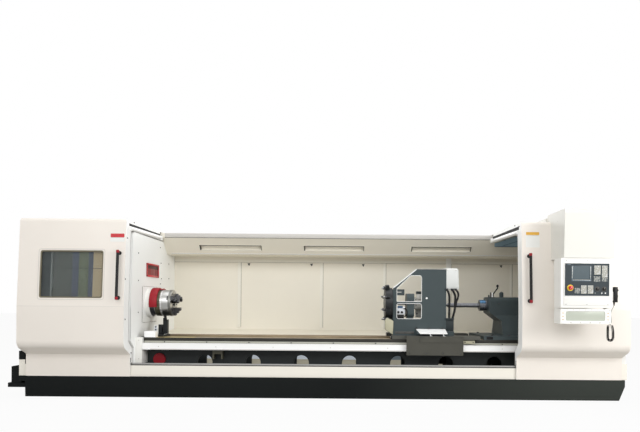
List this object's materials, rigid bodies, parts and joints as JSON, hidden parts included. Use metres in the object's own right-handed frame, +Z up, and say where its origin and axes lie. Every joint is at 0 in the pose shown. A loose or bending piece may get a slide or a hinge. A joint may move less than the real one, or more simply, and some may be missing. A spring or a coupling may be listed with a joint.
{
  "type": "cnc lathe",
  "caption": "Flat-bed CNC lathe with a chucking spindle, disc turret carriage, tailstock and two sliding portal hoods for turning long shafts.",
  "frame": {"origin": "on the floor, in the middle of the machine's length and depth", "axes": "+X from the headstock to the tailstock, +Y away from the operator, +Z up"},
  "size_m": [6.628, 2.19, 1.96],
  "materials": {
    "hood_paint": "satin",
    "white_paint": "satin",
    "wall_paint": "satin",
    "cream_paint": "satin",
    "trim_paint": "satin",
    "grey_paint": "satin",
    "apron_paint": "satin",
    "black_paint": "satin",
    "red_paint": "satin",
    "slate_paint": "satin",
    "panel_slate": "matte",
    "bed_iron": "machined",
    "saddle_iron": "machined",
    "bright_steel": "ground",
    "dark_steel": "ground",
    "black_rubber": "matte",
    "black_plastic": "matte",
    "red_plastic": "gloss",
    "screen_plastic": "gloss",
    "window_glass": "tinted"
  },
  "bodies": {
    "machine": {"base_pan": "black_paint", "end_brackets": "black_paint", "bed": "bed_iron", "way_cover": "white_paint", "bed_plug": "red_paint", "bed_bracket": "grey_paint", "headstock": "slate_paint", "headstock_wall": "white_paint", "inspection_window": "red_paint", "nose_guard": "red_paint", "bearings": "bright_steel", "main_motor": "slate_paint", "drive_belt": "black_rubber", "z_motor": "black_paint", "rear_beam": "wall_paint", "rear_panels": "wall_paint", "rear_posts": "wall_paint", "chute": "wall_paint", "end_walls": "white_paint", "trough_panel": "cream_paint", "hood_rails": "bright_steel", "chuck_stop": "slate_paint", "control_cabinet": "wall_paint"},
    "cabinet_door": {"cabinet_door": "wall_paint"},
    "left_hood": {"left_hood": "hood_paint", "left_window_frame": "trim_paint", "left_window_glass": "window_glass", "left_handle": "black_plastic"},
    "right_hood": {"right_hood": "hood_paint", "right_handle": "black_plastic", "console_hood": "white_paint", "console_box": "white_paint", "control_panel": "panel_slate", "control_screen": "screen_plastic", "console_tray": "white_paint", "pendant": "black_plastic", "pendant_cord": "black_rubber"},
    "pendant_dial": {"pendant_dial": "black_plastic"},
    "estop_button": {"estop_button": "red_plastic"},
    "spindle": {"spindle": "dark_steel", "spindle_pulley": "dark_steel", "chuck": "bright_steel"},
    "chuck_jaw_1": {"chuck_jaw_1": "dark_steel"},
    "chuck_jaw_2": {"chuck_jaw_2": "dark_steel"},
    "chuck_jaw_3": {"chuck_jaw_3": "dark_steel"},
    "motor_pulley": {"motor_pulley": "dark_steel"},
    "z_screw": {"z_screw": "bright_steel"},
    "carriage": {"saddle": "saddle_iron", "apron": "apron_paint"},
    "cross_slide": {"cross_slide": "slate_paint", "guard_plate": "slate_paint", "turret_stand": "slate_paint", "guard_box": "white_paint", "conduits": "black_rubber"},
    "turret": {"turret_disc": "dark_steel"},
    "tailstock": {"tailstock": "slate_paint"},
    "quill": {"quill": "bright_steel", "tail_centre": "bright_steel"},
    "handwheel": {"handwheel": "bright_steel"},
    "clamp_lever": {"clamp_lever": "black_plastic"}
  },
  "joints": [
    {"name": "left_hood_slide", "type": "slide", "parent": "machine", "child": "left_hood", "axis": [1, 0, 0], "range_m": [0, 2]},
    {"name": "right_hood_slide", "type": "slide", "parent": "machine", "child": "right_hood", "axis": [1, 0, 0], "range_m": [-2, 0]},
    {"name": "spindle_spin", "type": "hinge", "parent": "machine", "child": "spindle", "pos_m": [-1.9, -0.01, 1.005], "axis": [1, 0, 0], "continuous": true},
    {"name": "motor_spin", "type": "hinge", "parent": "machine", "child": "motor_pulley", "pos_m": [-2.99, 0.56, 0.4], "axis": [1, 0, 0], "continuous": true},
    {"name": "jaw_1_slide", "type": "slide", "parent": "spindle", "child": "chuck_jaw_1", "axis": [0, -0.9272, 0.3746], "range_m": [-0.016, 0.02]},
    {"name": "jaw_2_slide", "type": "slide", "parent": "spindle", "child": "chuck_jaw_2", "axis": [0, 0.788, 0.6157], "range_m": [-0.016, 0.02]},
    {"name": "jaw_3_slide", "type": "slide", "parent": "spindle", "child": "chuck_jaw_3", "axis": [0, 0.1392, -0.9903], "range_m": [-0.016, 0.02]},
    {"name": "carriage_slide", "type": "slide", "parent": "machine", "child": "carriage", "axis": [1, 0, 0], "range_m": [-2.2, 0.03]},
    {"name": "z_screw_spin", "type": "hinge", "parent": "machine", "child": "z_screw", "pos_m": [0, -0.368, 0.52], "axis": [1, 0, 0], "continuous": true},
    {"name": "cross_slide_slide", "type": "slide", "parent": "carriage", "child": "cross_slide", "axis": [0, 1, 0], "range_m": [-0.15, 0.05]},
    {"name": "turret_spin", "type": "hinge", "parent": "cross_slide", "child": "turret", "pos_m": [0.784, -0.2, 1.02], "axis": [1, 0, 0], "continuous": true},
    {"name": "tailstock_slide", "type": "slide", "parent": "machine", "child": "tailstock", "axis": [1, 0, 0], "range_m": [-0.03, 0.55]},
    {"name": "handwheel_spin", "type": "hinge", "parent": "tailstock", "child": "handwheel", "pos_m": [2.58, -0.01, 1.005], "axis": [1, 0, 0], "range_deg": [-720, 3600]},
    {"name": "quill_slide", "type": "slide", "parent": "tailstock", "child": "quill", "axis": [-1, 0, 0], "range_m": [-0.021, 0.101]},
    {"name": "clamp_lever_turn", "type": "hinge", "parent": "tailstock", "child": "clamp_lever", "pos_m": [1.983, -0.1, 1.1], "axis": [0, 0, 1], "range_deg": [-90, 40]},
    {"name": "estop_press", "type": "slide", "parent": "right_hood", "child": "estop_button", "axis": [0, 1, 0], "range_m": [0, 0.005]},
    {"name": "pendant_dial_spin", "type": "hinge", "parent": "right_hood", "child": "pendant_dial", "pos_m": [2.96, -1.005, 1.107], "axis": [1, 0, 0], "continuous": true},
    {"name": "cabinet_door_hinge", "type": "hinge", "parent": "machine", "child": "cabinet_door", "pos_m": [-3.106, 1.082, 0.9], "axis": [0, 0, 1], "range_deg": [0, 110]}
  ],
  "couplings": [
    {"joint": "motor_spin", "follows": "spindle_spin", "ratio": 1.6667},
    {"joint": "jaw_2_slide", "follows": "jaw_1_slide", "ratio": 1},
    {"joint": "jaw_3_slide", "follows": "jaw_1_slide", "ratio": 1},
    {"joint": "z_screw_spin", "follows": "carriage_slide", "rad_per_m": 523.6},
    {"joint": "quill_slide", "follows": "handwheel_spin", "m_per_rad": 0.0015915}
  ]
}
